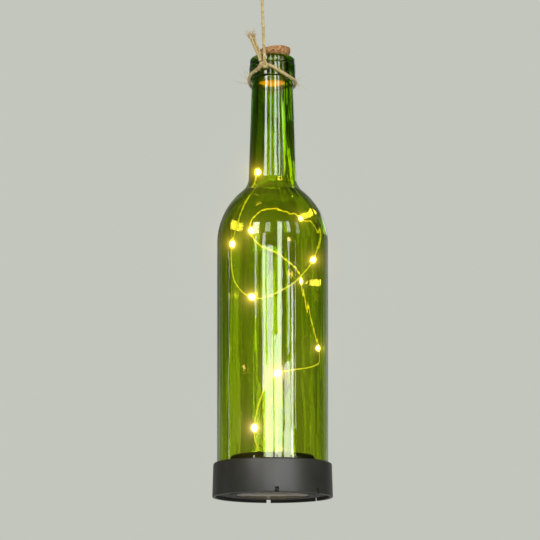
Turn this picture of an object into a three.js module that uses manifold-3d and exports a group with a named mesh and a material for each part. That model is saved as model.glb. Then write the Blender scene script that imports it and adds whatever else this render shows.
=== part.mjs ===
// Solar bottle lamp: a wine bottle cut off at the foot and hung by jute twine from its collar.
// A cork closes the mouth, a string of ten small lights fills the body, and a cap at the foot
// holds the solar cell, the rechargeable cell and the board.
// Millimetres, +Z up. Every piece is drawn upright about the bottle's axis, with the cap's rim at z = 0.
// The last group turns the lamp so that its weight hangs plumb under the knot of the hanging loop,
// and puts the origin at the top of that loop.
import * as THREE from "three";
import { mergeVertices } from "three/addons/utils/BufferGeometryUtils.js";
import Module from "manifold-3d";

const wasm = await Module();
wasm.setup();

// Clearances
const fitGap = 0.3;
const glueGap = 0.35;

// Bottle
const bottleRadius = 37.05;
const glassWall = 3;
const glassFoot = 13.5;
const bodyTop = 169.5;
const shoulderRadius = 46;
const neckFillet = 13;
const neckFootRadius = 16;
const neckTopRadius = 13.95;
const bottleTop = 298;
const collarRadius = 15.65;
const collarHeight = 15.3;
const lipHeight = 5.6;
const boreRadius = 9.4;
const boreLength = 36;

// Cork
const corkLength = 24.6;
const corkHead = 6.3;
const corkHeadRadius = 10.9;
const corkTipRadius = 8.8;

// Cap at the foot
const capHeight = 22.2;
const capWall = 1.5;
const capDraft = 0.6;
const ledgeWidth = 4;
const ledgeThickness = 1.7;
const sealThickness = 0.9;
const notchAngles = [-86, -42, 41, 94];
const notchWidth = 2.8;
const notchHeight = 3.3;

// Plate that closes the cap, with the solar cell in its underside
const plateRecess = 2;
const plateThickness = 3;
const bezelRadius = 28;
const bezelHeight = 1;
const windowRadius = 23.6;
const windowThickness = 1.2;
const cellThickness = 0.6;
const plateScrewAngles = [30, 150, 270];
const plateScrewInset = 3;
const plateScrewHead = 2.1;
const plateScrewShank = 1.2;
const plateScrewSink = 1.6;
const bossRadius = 3.2;

// Housing of the electronics
const housingRadius = 28;
const housingWall = 1.6;
const housingTop = 27;
const locatingRing = 1.2;

// Rechargeable cell and its holder
const cellLength = 44.5;
const cellRadius = 5.25;
const contactThickness = 0.4;
const contactHeight = 9;
const springLength = 2.4;
const springWire = 0.5;
const holderWall = 0.85;
const holderFloor = 1;

// Board
const boardSize = [36, 28, 1.2];
const boardPostHeight = 15.1;
const boardPostRadius = 1.7;
const boardPostPlaces = [[-13, 9.5], [13, -9.5]];
const boardScrewRadius = 0.7;
const boardScrewLength = 3.5;
const driverSize = [5.2, 1.5, 3];
const inductorRadius = 2.6;
const inductorHeight = 3.2;
const leadRadius = 0.55;

// Switch
const switchAngle = 215;
const switchSize = [8.6, 4.2, 4.2];
const switchTravel = 2;
const sliderSize = [2, 1.5];
const sliderProud = 1;

// Light string
const stringRadius = 0.45;
const stringSteps = 72;
const beadRadius = 1.9;
const beadLength = 4.8;
const stringExit = [-9, -11];
const grommetFlange = 3.4;
const grommetNeck = 2.2;

// Twine. A knot is a ball with two turns laid over it, and the ends come out of it a gap away.
const twineRadius = 1.1;
const knotRadius = 2.4;
const knotTurnRadius = 1.75;
const knotTurnThickness = 1;
const loopHeight = 28;
const weightHeight = 125;

const roundSegments = 36;
const smallSegments = 20;
const radians = THREE.MathUtils.degToRad;

// Heights that follow from the sizes above
const capBore = bottleRadius + glueGap;
const capTopRadius = capBore + capWall;
const capFootRadius = capTopRadius + capDraft;
const ledgeTop = glassFoot - sealThickness - 2 * fitGap;
const ledgeFoot = ledgeTop - ledgeThickness;
const plateTop = plateRecess + plateThickness;
const plateRadius = capBore - fitGap;
const windowFoot = plateRecess - bezelHeight + 0.2;
const windowPocket = windowRadius + fitGap;
const cellFoot = windowFoot + windowThickness + fitGap;
const pocketTop = cellFoot + cellThickness + fitGap;
const screwCircle = capBore - plateScrewInset;
const housingBore = housingRadius - housingWall;
const ringRadius = housingBore - fitGap;
const boardFoot = plateTop + boardPostHeight + fitGap;
const boardTop = boardFoot + boardSize[2];
const holderFoot = plateTop + locatingRing + fitGap;
const cellAxis = holderFoot + holderFloor + fitGap + cellRadius;
const collarFoot = bottleTop - collarHeight;

// Turns a geometry into a solid for joining and cutting.
function solidOf(geometry) {
  const bare = geometry.clone();
  bare.deleteAttribute("normal");
  bare.deleteAttribute("uv");
  const merged = mergeVertices(bare, 1e-4);
  return new wasm.Manifold(
    new wasm.Mesh({
      numProp: 3,
      vertProperties: merged.attributes.position.array,
      triVerts: new Uint32Array(merged.index.array),
    }),
  );
}

// Turns a solid back into a geometry.
function geometryOf(solid) {
  const mesh = solid.getMesh();
  const geometry = new THREE.BufferGeometry();
  geometry.setAttribute("position", new THREE.BufferAttribute(mesh.vertProperties, 3));
  geometry.setIndex(new THREE.BufferAttribute(mesh.triVerts, 1));
  geometry.computeVertexNormals();
  return geometry;
}

// Revolves a profile of [radius, height] points about the Z axis; its outside is drawn upwards.
function revolve(profile, segments = roundSegments) {
  const points = profile.map(([r, z]) => new THREE.Vector2(r, z));
  return new THREE.LatheGeometry(points, segments).rotateX(Math.PI / 2);
}

// A profile that closes on itself makes a ring.
function revolveRing(profile, segments = roundSegments) {
  return revolve([...profile, profile[0]], segments);
}

function cylinder(radius, low, high, segments = smallSegments) {
  return revolve([[0, low], [radius, low], [radius, high], [0, high]], segments);
}

function box(size, centre) {
  return new THREE.BoxGeometry(...size).translate(...centre);
}

// Points of a round stretch of a profile, about a centre, between two angles in degrees.
function arc([r, z], radius, from, to, steps) {
  return Array.from({ length: steps + 1 }, (_, i) => {
    const angle = radians(from + ((to - from) * i) / steps);
    return [r + radius * Math.cos(angle), z + radius * Math.sin(angle)];
  });
}

// A round tube along a smooth curve through points.
function tube(points, radius, steps, sides = 8) {
  const path = new THREE.CatmullRomCurve3(points, false, "centripetal");
  return tubeAlong(path, radius, steps, sides);
}

function tubeAlong(path, radius, steps, sides) {
  const ring = Array.from({ length: sides }, (_, i) => {
    const angle = (2 * Math.PI * i) / sides;
    return new THREE.Vector2(radius * Math.cos(angle), radius * Math.sin(angle));
  });
  const section = new THREE.Shape(ring);
  return new THREE.ExtrudeGeometry(section, { steps, extrudePath: path });
}

const vectors = (list) => list.map((p) => new THREE.Vector3(...p));

const lamp = new THREE.Group();

function add(name, geometry, color, roughness, metalness = 0, extra = {}) {
  const material = new THREE.MeshStandardMaterial({ color, roughness, metalness, ...extra });
  const mesh = new THREE.Mesh(geometry, material);
  mesh.name = name;
  lamp.add(mesh);
  return mesh;
}

// The shoulder's arc and the fillet to the neck touch on the line between their centres.
function shoulderCentres() {
  const shoulder = [bottleRadius - shoulderRadius, bodyTop];
  const reach = shoulderRadius + neckFillet;
  const across = neckFootRadius + neckFillet - shoulder[0];
  const fillet = [neckFootRadius + neckFillet, bodyTop + Math.sqrt(reach ** 2 - across ** 2)];
  const turn = THREE.MathUtils.radToDeg(Math.acos(across / reach));
  return { shoulder, fillet, turn };
}

// One wall of the bottle from the body up to the foot of the neck, set in by a depth.
function shoulderWall(depth, steps) {
  const { shoulder, fillet, turn } = shoulderCentres();
  return [
    ...arc(shoulder, shoulderRadius - depth, 0, turn, steps),
    ...arc(fillet, neckFillet + depth, 180 + turn, 180, steps).slice(1),
  ];
}

function makeBottle() {
  const rim = collarRadius - 0.4;
  const mouth = boreRadius + 1.3;
  const outside = [
    [bottleRadius - 0.5, glassFoot],
    [bottleRadius, glassFoot + 0.5],
    ...shoulderWall(0, 6),
    [neckTopRadius, collarFoot - 1.2],
    [neckTopRadius + 0.4, collarFoot - 0.3],
    [collarRadius - 0.3, collarFoot],
    [collarRadius, collarFoot + 0.5],
    [collarRadius, bottleTop - lipHeight - 0.5],
    [rim - 0.2, bottleTop - lipHeight],
    [rim, bottleTop - lipHeight + 0.6],
    ...arc([rim - 3, bottleTop - 3], 3, 20, 90, 3),
  ];
  const inside = [
    [mouth + 0.2, bottleTop],
    [mouth - 0.7, bottleTop - 0.6],
    [boreRadius, bottleTop - 2.6],
    [boreRadius, bottleTop - boreLength],
    ...shoulderWall(glassWall, 6).reverse(),
    [bottleRadius - glassWall, glassFoot + 0.5],
    [bottleRadius - glassWall + 0.5, glassFoot],
  ];
  return revolveRing([...outside, ...inside]);
}

function makeCork() {
  const top = bottleTop + corkHead;
  const tip = top - corkLength;
  const plug = boreRadius - fitGap - 0.05;
  return revolve(
    [
      [0, tip],
      [corkTipRadius - 0.5, tip],
      [corkTipRadius, tip + 0.5],
      [plug, bottleTop - 2],
      [plug + 0.7, bottleTop + 0.4],
      [corkHeadRadius - 0.2, bottleTop + 1.6],
      [corkHeadRadius, bottleTop + 2.6],
      [corkHeadRadius - 0.15, top - 1],
      [corkHeadRadius - 1, top],
      [0, top],
    ],
    32,
  );
}

function makeBaseCap() {
  const rimFoot = 0.4;
  const edge = capWall - rimFoot;
  const shell = solidOf(
    revolveRing([
      [capFootRadius - rimFoot, 0],
      [capFootRadius, rimFoot],
      [capTopRadius, capHeight - edge],
      ...arc([capTopRadius - edge, capHeight - edge], edge, 30, 90, 2),
      [capBore, capHeight - rimFoot],
      [capBore, ledgeTop],
      [capBore - ledgeWidth, ledgeTop],
      [capBore - ledgeWidth, ledgeFoot],
      [capBore, ledgeFoot],
      [capBore, rimFoot],
      [capBore + rimFoot, 0],
    ]),
  );
  let cap = shell;
  for (const angle of plateScrewAngles) {
    const boss = cylinder(bossRadius, plateTop + fitGap, ledgeTop - ledgeThickness / 2);
    const hole = cylinder(plateScrewShank + fitGap, plateTop - 1, ledgeTop - 0.6, 12);
    const turned = (geometry) => geometry.translate(screwCircle, 0, 0).rotateZ(radians(angle));
    cap = cap.add(solidOf(turned(boss))).subtract(solidOf(turned(hole)));
  }
  for (const angle of notchAngles) {
    const notch = box([4 * capWall + 4, notchWidth, 2 * notchHeight], [capBore + capWall, 0, 0]);
    cap = cap.subtract(solidOf(notch.rotateZ(radians(angle))));
  }
  return geometryOf(cap);
}

// A soft ring between the cap's ledge and the cut edge of the glass.
function makeSeal() {
  const low = ledgeTop + fitGap;
  const inner = bottleRadius - glassWall;
  return revolveRing([
    [bottleRadius - 0.1, low],
    [bottleRadius - 0.1, low + sealThickness],
    [inner, low + sealThickness],
    [inner, low],
  ]);
}

// Where something sits on the plate's ring of screws, turned to its angle.
function onRing(geometry, radius, angle) {
  return geometry.translate(radius, 0, 0).rotateZ(radians(angle));
}

function makeBasePlate() {
  let plate = solidOf(
    revolve([
      [0, pocketTop],
      [windowPocket, pocketTop],
      [windowPocket, plateRecess - bezelHeight + 0.3],
      [windowPocket + 0.3, plateRecess - bezelHeight],
      [bezelRadius - 0.5, plateRecess - bezelHeight],
      [bezelRadius, plateRecess - bezelHeight + 0.5],
      [bezelRadius, plateRecess],
      [plateRadius, plateRecess],
      [plateRadius, plateTop],
      [ringRadius, plateTop],
      [ringRadius, plateTop + locatingRing],
      [ringRadius - locatingRing, plateTop + locatingRing],
      [ringRadius - locatingRing, plateTop],
      [0, plateTop],
    ]),
  );
  const sink = plateRecess + plateScrewSink;
  for (const angle of plateScrewAngles) {
    const hole = cylinder(plateScrewShank + fitGap, plateRecess - 1, plateTop + 1, 12);
    const counterbore = cylinder(plateScrewHead + fitGap, plateRecess - 1, sink, 16);
    plate = plate.subtract(solidOf(onRing(hole, screwCircle, angle)));
    plate = plate.subtract(solidOf(onRing(counterbore, screwCircle, angle)));
  }
  for (const [x, y] of boardPostPlaces) {
    const post = cylinder(boardPostRadius, plateTop - 0.5, plateTop + boardPostHeight, 12);
    const pilot = cylinder(boardScrewRadius + fitGap, boardFoot - boardScrewLength - 1.5, boardFoot, 8);
    plate = plate.add(solidOf(post.translate(x, y, 0)));
    plate = plate.subtract(solidOf(pilot.translate(x, y, 0)));
  }
  for (const x of [-1, 1]) {
    const hole = cylinder(leadRadius + fitGap, cellFoot, plateTop + 1, 10);
    plate = plate.subtract(solidOf(hole.translate(...leadFoot(x))));
  }
  const slot = box(
    [sliderSize[1] + 2 * fitGap, sliderSize[0] + switchTravel + 2 * fitGap, 3 * plateThickness],
    [0, switchTravel / 2, plateTop],
  );
  return geometryOf(plate.subtract(solidOf(onRing(slot, switchCircle, switchAngle))));
}

// The two leads of the solar cell rise beside the holder of the rechargeable cell.
const leadFoot = (side) => [4 * side, -(cellRadius + holderWall + 6), 0];

function makeCell() {
  return cylinder(windowRadius - 0.8, cellFoot, cellFoot + cellThickness, 32);
}

function makeWindow() {
  return cylinder(windowRadius, windowFoot, windowFoot + windowThickness, roundSegments);
}

function makeHousing() {
  const low = plateTop + fitGap;
  const edge = 1.5;
  const cup = revolve([
    [0, housingTop - housingWall],
    [housingBore, housingTop - housingWall],
    [housingBore, low],
    [housingRadius, low],
    ...arc([housingRadius - edge, housingTop - edge], edge, 0, 90, 3),
    [0, housingTop],
  ]);
  const outlet = cylinder(grommetNeck + fitGap, housingTop - 3 * housingWall, housingTop + 1, 16);
  return geometryOf(solidOf(cup).subtract(solidOf(outlet.translate(...stringExit, 0))));
}

function makeGrommet() {
  const bore = stringRadius + fitGap;
  const top = housingTop + fitGap;
  const low = housingTop - housingWall - fitGap;
  const ring = revolveRing(
    [
      [grommetFlange, low - 0.9],
      [grommetFlange, low],
      [grommetNeck, low],
      [grommetNeck, top],
      [grommetFlange, top],
      [grommetFlange - 0.3, top + 0.8],
      [bore + 0.6, top + 1.6],
      [bore, top + 1.6],
      [bore, low - 0.9],
    ],
    16,
  );
  return ring.translate(...stringExit, 0);
}

// Lengths along the rechargeable cell, from one contact to the other.
const contactSpan = cellLength + springLength + 2 * contactThickness + 5 * fitGap;
const holderHalf = contactSpan / 2 + 0.8;
const trough = cellRadius + fitGap;
const cellShift = springLength / 2 + fitGap / 2;

function makeHolder() {
  const width = 2 * (trough + holderWall);
  const depth = cellAxis - holderFoot;
  const tray = solidOf(box([2 * holderHalf, width, depth], [0, 0, holderFoot + depth / 2]));
  const hollow = cylinder(trough, -contactSpan / 2, contactSpan / 2, 24);
  const cut = solidOf(hollow.rotateY(Math.PI / 2).translate(0, 0, cellAxis));
  const within = solidOf(cylinder(ringRadius, 0, housingTop, roundSegments));
  let holder = tray.subtract(cut);
  for (const side of [-1, 1]) {
    const wall = box(
      [holderHalf - contactSpan / 2, contactHeight, trough],
      [(side * (holderHalf + contactSpan / 2)) / 2, 0, cellAxis + trough / 2 - 0.5],
    );
    holder = holder.add(solidOf(wall));
  }
  return geometryOf(holder.intersect(within));
}

function makeCellBattery() {
  const low = -cellLength / 2;
  const nub = 1;
  const body = revolve(
    [
      [0, low],
      [cellRadius - 1, low],
      [cellRadius, low + 0.8],
      [cellRadius, -low - nub - 0.8],
      [cellRadius - 1, -low - nub],
      [1.9, -low - nub],
      [1.9, -low],
      [0, -low],
    ],
    24,
  );
  return body.rotateY(Math.PI / 2).translate(cellShift, 0, cellAxis);
}

function makeContact(side) {
  const x = side * (contactSpan / 2 - fitGap - contactThickness / 2);
  const height = contactHeight;
  const corner = 2 * Math.sqrt(trough ** 2 - (height / 2) ** 2) - 0.8;
  return box([contactThickness, corner, height], [x, 0, cellAxis]);
}

// A conical coil: the turns step inwards, so they can lie flat on each other.
function makeContactSpring() {
  const turns = 2.5;
  const wide = 3.7;
  const narrow = 1.5;
  const start = -contactSpan / 2 + 2 * fitGap + contactThickness + springWire / 2;
  const rise = springLength - springWire;
  const steps = Math.round(turns * 8);
  const points = Array.from({ length: steps + 1 }, (_, i) => {
    const part = i / steps;
    const angle = 2 * Math.PI * turns * part;
    const radius = wide + (narrow - wide) * part;
    return [start + rise * part, radius * Math.cos(angle), cellAxis + radius * Math.sin(angle)];
  });
  console.log("contact spring, least gap between turns:", leastGap(points, springWire / 2, 5));
  return tube(vectors(points), springWire / 2, steps * 2, 5);
}

// The smallest space between stretches of a wound wire that lie more than some points apart.
function leastGap(points, radius, apart) {
  const fine = new THREE.CatmullRomCurve3(vectors(points), false, "centripetal").getSpacedPoints(400);
  const skip = Math.round((apart * 400) / points.length);
  let least = Infinity;
  for (let i = 0; i < fine.length; i++) {
    for (let j = i + skip; j < fine.length; j++) {
      least = Math.min(least, fine[i].distanceTo(fine[j]) - 2 * radius);
    }
  }
  return Number(least.toFixed(2));
}

function makeBoard() {
  const [length, width, thickness] = boardSize;
  let board = solidOf(box([length, width, thickness], [0, 0, boardFoot + thickness / 2]));
  for (const [x, y] of boardPostPlaces) {
    const hole = cylinder(boardScrewRadius + fitGap, boardFoot - 1, boardTop + 1, 10);
    board = board.subtract(solidOf(hole.translate(x, y, 0)));
  }
  return geometryOf(board);
}

// The driver's moulded body has sides that draw in; its legs are too fine to draw.
function makeDriver() {
  const [length, depth, height] = driverSize;
  const shape = new THREE.Shape();
  shape.moveTo(-length / 2, 0);
  shape.lineTo(length / 2, 0);
  shape.lineTo(length / 2 - 0.7, depth);
  shape.lineTo(0.7 - length / 2, depth);
  shape.closePath();
  const body = new THREE.ExtrudeGeometry(shape, { depth: height, bevelEnabled: false });
  return body.translate(4, 4, boardTop + fitGap);
}

// A drum with a waist, where its winding sits.
function makeInductor() {
  const low = boardTop + fitGap;
  const high = low + inductorHeight;
  const waist = inductorRadius - 0.6;
  const drum = revolve(
    [
      [0, low],
      [inductorRadius, low],
      [inductorRadius, low + 0.6],
      [waist, low + 0.9],
      [waist, high - 0.9],
      [inductorRadius, high - 0.6],
      [inductorRadius, high],
      [0, high],
    ],
    16,
  );
  return drum.translate(4, -6, 0);
}

function makeSolarLead(side) {
  const [x, y] = leadFoot(side);
  const low = cellFoot + cellThickness + fitGap;
  const high = boardFoot - fitGap;
  const points = [
    [x, y, low],
    [x, y, plateTop + 1],
    [x + side, y - 0.8, (low + high) / 2],
    [x, y, high - 2],
    [x, y, high],
  ];
  return tube(vectors(points), leadRadius, 10);
}

function makeBatteryLead(side) {
  const contact = contactSpan / 2 - fitGap - contactThickness / 2;
  const low = cellAxis + trough + 0.5 + leadRadius;
  const end = boardSize[0] / 2 + fitGap;
  const points = [
    [side * contact, 2.5 * side, low],
    [side * contact, 2.5 * side, low + 0.8],
    [side * (contact - 1.5), 2.7 * side, boardFoot + 0.6],
    [side * (end + 1), 3 * side, boardFoot + 0.6],
    [side * end, 3 * side, boardFoot + 0.6],
  ];
  return tube(vectors(points), leadRadius, 8);
}

const switchCircle = (bezelRadius + capBore) / 2;

function makeSwitchBody() {
  const [length, width, height] = switchSize;
  const low = plateTop + fitGap;
  const body = solidOf(box([width, length, height], [0, switchTravel / 2, low + height / 2]));
  const depth = height - 1;
  const hollow = box(
    [sliderSize[1] + 2 * fitGap, sliderSize[0] + switchTravel + 2 * fitGap, 2 * depth],
    [0, switchTravel / 2, low],
  );
  return onRing(geometryOf(body.subtract(solidOf(hollow))), switchCircle, switchAngle);
}

function makeSlider() {
  const low = plateRecess - sliderProud;
  const high = plateTop + switchSize[2] - 1;
  const size = [sliderSize[1], sliderSize[0], high - low];
  return onRing(box(size, [0, 0, (low + high) / 2]), switchCircle, switchAngle);
}

function makePlateScrew(angle) {
  const head = plateRecess + 0.2;
  const seat = plateRecess + plateScrewSink - fitGap;
  const end = ledgeTop - 0.6 - fitGap;
  const screw = revolve(
    [
      [0, head],
      [plateScrewHead - 0.5, head],
      [plateScrewHead, head + 0.5],
      [plateScrewHead, seat],
      [plateScrewShank, seat],
      [plateScrewShank, end - 1.2],
      [0.2, end],
      [0, end],
    ],
    12,
  );
  return onRing(screw, screwCircle, angle);
}

function makeBoardScrew([x, y]) {
  const seat = boardTop + fitGap;
  const end = boardFoot - boardScrewLength;
  const head = boardScrewRadius + 0.8;
  const screw = revolve(
    [
      [0, end],
      [boardScrewRadius, end + 0.5],
      [boardScrewRadius, seat],
      [head, seat],
      [head, seat + 0.6],
      [head - 0.6, seat + 1.1],
      [0, seat + 1.1],
    ],
    10,
  );
  return screw.translate(x, y, 0);
}

// The wire climbs from the outlet along the inside of the glass and ends in the neck. Each point is
// a bearing in degrees, a share of the room that a bead has inside the glass, and a height.
const stringRoute = [
  [-126.6, 0.606, 36], [-125, 0.652, 42.2], [-117.9, 0.711, 52.3], [-103.7, 0.808, 66],
  [-91.8, 0.88, 76], [-82.9, 0.918, 77.9], [-64.8, 0.937, 80.1], [-45.1, 0.975, 82.2],
  [-20.6, 0.983, 86.6], [-3.6, 1, 93.3], [5.4, 0.993, 98.8], [14.8, 0.984, 105.7],
  [25.6, 0.944, 116.7], [35.5, 0.918, 127.6], [43.8, 0.953, 139.3], [49.1, 0.955, 150.7],
  [57.5, 0.93, 158], [74.4, 0.913, 166.2], [93.6, 0.913, 171.3], [112.2, 0.893, 175.5],
  [125, 0.892, 181.6], [127.6, 0.925, 188.8], [116.8, 1, 195.3], [94.9, 1, 198.5],
  [65.3, 0.991, 196.9], [39.7, 0.984, 190.7], [22.5, 1, 186.8], [0, 1, 178.3], [-20.1, 1, 166.4],
  [-34.7, 0.993, 154.8], [-48.2, 0.969, 145.8], [-65.6, 0.965, 136.8], [-83.4, 0.98, 130.9],
  [-99, 0.985, 127], [-113, 0.972, 127.4], [-127.9, 0.955, 131.6], [-145.5, 0.941, 141.6],
  [-156, 0.925, 154.7], [-157.3, 0.895, 168.4], [-158.7, 0.819, 181.1], [-159.3, 0.848, 195.2],
  [-162.6, 1, 207.1], [-163.1, 0.958, 217.4], [-164.4, 0.894, 221],
];
const beadPlaces = [1, 5, 10, 15, 20, 25, 29, 34, 38, 42].map((i) => stringRoute[i]);
const stringStart = [-5, -1, 3].map((rise) => [...stringExit, housingTop + rise]);
const stringPoints = [...stringStart, ...stringRoute.map(insideGlass)];
const stringPath = new THREE.CatmullRomCurve3(vectors(stringPoints), false, "centripetal");
stringPath.arcLengthDivisions = 1000;

// The inside radius of the bottle at a height of the body or the shoulder.
function insideRadius(z) {
  const { shoulder, fillet, turn } = shoulderCentres();
  const round = shoulderRadius - glassWall;
  const rise = z - bodyTop;
  if (rise <= 0) return bottleRadius - glassWall;
  if (rise < round * Math.sin(radians(turn))) return shoulder[0] + Math.sqrt(round ** 2 - rise ** 2);
  const below = Math.min(z - fillet[1], 0);
  return fillet[0] - Math.sqrt((neckFillet + glassWall) ** 2 - below ** 2);
}

function insideGlass([bearing, share, z]) {
  const radius = share * (insideRadius(z) - beadRadius - fitGap);
  return [radius * Math.cos(radians(bearing)), radius * Math.sin(radians(bearing)), z];
}

// A clear drop of resin over each light, threaded on the straight step of wire nearest its place.
function makeBead(place) {
  const knots = stringPath.getSpacedPoints(stringSteps);
  const middles = knots.slice(1).map((p, i) => p.clone().add(knots[i]).multiplyScalar(0.5));
  const target = new THREE.Vector3(...insideGlass(place));
  const distances = middles.map((p) => p.distanceTo(target));
  const nearest = distances.indexOf(Math.min(...distances));
  const along = knots[nearest + 1].clone().sub(knots[nearest]).normalize();
  const bore = stringRadius + fitGap;
  const lip = bore + 0.45;
  const waist = beadRadius - 0.2;
  const half = beadLength / 2;
  const bead = revolveRing(
    [
      [bore, -half],
      [lip, -half],
      [waist, -half / 2],
      [beadRadius, 0],
      [waist, half / 2],
      [lip, half],
      [bore, half],
    ],
    8,
  );
  const turn = new THREE.Quaternion().setFromUnitVectors(new THREE.Vector3(0, 0, 1), along);
  return bead.applyQuaternion(turn).translate(...middles[nearest]);
}

// Twine, with heights from the bottle's top. The knot sits on the collar's face, in front and
// a little to the left.
const fromTop = ([x, y, z]) => new THREE.Vector3(x, y, bottleTop + z);
const neckKnot = fromTop([-5.3, -18.6, -9.2]);
const loopKnot = fromTop([-7.3, -23.7, 43]);
const weight = new THREE.Vector3(0, 0, weightHeight);
const pull = loopKnot.clone().sub(weight);
const plumb = pull.clone().normalize();
const knotReach = knotRadius + fitGap;
const loopTop = loopKnot.clone().addScaledVector(plumb, loopHeight);

// A knot stays inside one ball whichever way it turns, so it can turn about its middle.
function makeKnot(centre, tilt) {
  let knot = solidOf(new THREE.SphereGeometry(knotRadius, 10, 6));
  for (const side of [-1, 1]) {
    const turn = new THREE.TorusGeometry(knotTurnRadius, knotTurnThickness, 5, 12);
    knot = knot.add(solidOf(turn.rotateX(side * tilt).rotateZ(side * 0.4)));
  }
  return geometryOf(knot).translate(...centre);
}

function makeHangingLine() {
  const along = loopKnot.clone().sub(neckKnot).normalize();
  const low = neckKnot.clone().addScaledVector(along, knotReach);
  const high = loopKnot.clone().addScaledVector(along, -knotReach);
  const middle = low.clone().lerp(high, 0.5);
  return tube([low, middle, high], twineRadius, 8);
}

// Heights and half widths of the hanging loop, above the middle of its knot.
const loopOutline = [
  [1.5, knotReach], [1.8, 6], [4, 12], [5.6, 18], [5.2, 23.5], [3, 27],
];

function makeHangingLoop() {
  const side = new THREE.Vector3(1, 0, 0);
  const at = ([wide, high]) => loopKnot.clone().addScaledVector(plumb, high).addScaledVector(side, wide);
  const right = loopOutline.map(at);
  const left = loopOutline.map(([wide, high]) => at([-wide, high])).reverse();
  return tube([...right, loopTop, ...left], twineRadius, 26);
}

// The turn round the neck runs over the collar's face in front and under the collar behind.
const neckRoute = [
  [-2.3, -18, -9.7], [0.4, -17.7, -10.8], [5.9, -16.3, -14], [11, -12.9, -16.2],
  [14.4, -7.4, -17.2], [15.5, 0.4, -17.9], [13.7, 7.3, -18.5], [9.7, 12.1, -19],
  [3.6, 15.1, -19.3], [-3.2, 15.2, -19.3], [-9.5, 12.2, -19], [-13.7, 7.4, -18.4],
  [-15.5, 0.8, -17.5], [-16, -5.2, -16.1], [-14.6, -9.7, -14], [-11.2, -13.9, -12.2],
  [-7.9, -17.6, -10.5],
];

const tailRoutes = [
  [[-7.2, -17, -7.2], [-8, -17, -3.2], [-10.4, -17.2, 3.6], [-13.2, -17.6, 10.3]],
  [[-8.3, -19.4, -7.4], [-9.4, -19.1, -3.6], [-12.2, -19.3, 3], [-15.1, -19.6, 9.8]],
];

function makeTwine() {
  const jute = [0xb89b6a, 0.95];
  add("hanging_loop", makeHangingLoop(), ...jute);
  add("loop_knot", makeKnot(loopKnot, 0.5), ...jute);
  add("hanging_line", makeHangingLine(), ...jute);
  add("neck_knot", makeKnot(neckKnot, 0.6), ...jute);
  add("neck_loop", tube(neckRoute.map(fromTop), twineRadius, 30), ...jute);
  tailRoutes.forEach((route, i) => {
    add(`twine_tail_${i + 1}`, tube(route.map(fromTop), twineRadius, 8), ...jute);
  });
}

function makeModule() {
  const plastic = [0x2e302b, 0.5];
  add("base_cap", makeBaseCap(), ...plastic);
  add("glass_seal", makeSeal(), 0xd8d8d0, 0.7);
  add("base_plate", makeBasePlate(), 0x1c1d1a, 0.55);
  add("solar_cell", makeCell(), 0x151c33, 0.3);
  add("solar_window", makeWindow(), 0x75694a, 0.15);
  add("electronics_housing", makeHousing(), 0x1c1d1a, 0.55);
  add("cable_grommet", makeGrommet(), 0x101010, 0.8);
  add("battery_holder", makeHolder(), 0x181818, 0.6);
  add("rechargeable_cell", makeCellBattery(), 0x3f7f4a, 0.4);
  add("contact_plus", makeContact(1), 0xc9c9c4, 0.3, 1);
  add("contact_minus", makeContact(-1), 0xc9c9c4, 0.3, 1);
  add("contact_spring", makeContactSpring(), 0xc9c9c4, 0.3, 1);
  add("circuit_board", makeBoard(), 0x1f5a34, 0.5);
  add("led_driver", makeDriver(), 0x141414, 0.6);
  add("inductor", makeInductor(), 0x3a3a3a, 0.6);
  add("solar_lead_plus", makeSolarLead(1), 0xa02018, 0.6);
  add("solar_lead_minus", makeSolarLead(-1), 0x161616, 0.6);
  add("battery_lead_plus", makeBatteryLead(1), 0xa02018, 0.6);
  add("battery_lead_minus", makeBatteryLead(-1), 0x161616, 0.6);
  add("switch_body", makeSwitchBody(), 0x9a9a98, 0.35, 0.8);
  add("switch_slider", makeSlider(), 0x141414, 0.6);
  plateScrewAngles.forEach((angle, i) => {
    add(`plate_screw_${i + 1}`, makePlateScrew(angle), 0x8c8c88, 0.35, 1);
  });
  boardPostPlaces.forEach((place, i) => {
    add(`board_screw_${i + 1}`, makeBoardScrew(place), 0x8c8c88, 0.35, 1);
  });
}

function makeLights() {
  add("light_string", tubeAlong(stringPath, stringRadius, stringSteps, 8), 0xc8a040, 0.35, 0.6);
  beadPlaces.forEach((place, i) => {
    const name = `led_${String(i + 1).padStart(2, "0")}`;
    add(name, makeBead(place), 0xffe9b0, 0.2, 0, { emissive: 0xffc860 });
  });
}

add("bottle", makeBottle(), 0x6fa000, 0.05, 0, { transparent: true, opacity: 0.4 });
add("cork", makeCork(), 0xc08850, 0.9);
makeModule();
makeLights();
makeTwine();

// Turns the pull of the twine upright: first about X, then about Y.
const lean = Math.atan2(pull.y, pull.z);
const side = Math.atan2(-pull.x, Math.hypot(pull.y, pull.z));
const hung = new THREE.Group();
hung.rotation.set(lean, side, 0, "YXZ");
hung.add(lamp);
const object = new THREE.Group();
object.add(hung);
hung.updateMatrixWorld(true);
hung.position.copy(loopTop).applyMatrix4(hung.matrixWorld).negate();

export default object;
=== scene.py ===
import math
import random

import bmesh
import bpy
from mathutils import Matrix, Vector, noise


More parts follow.
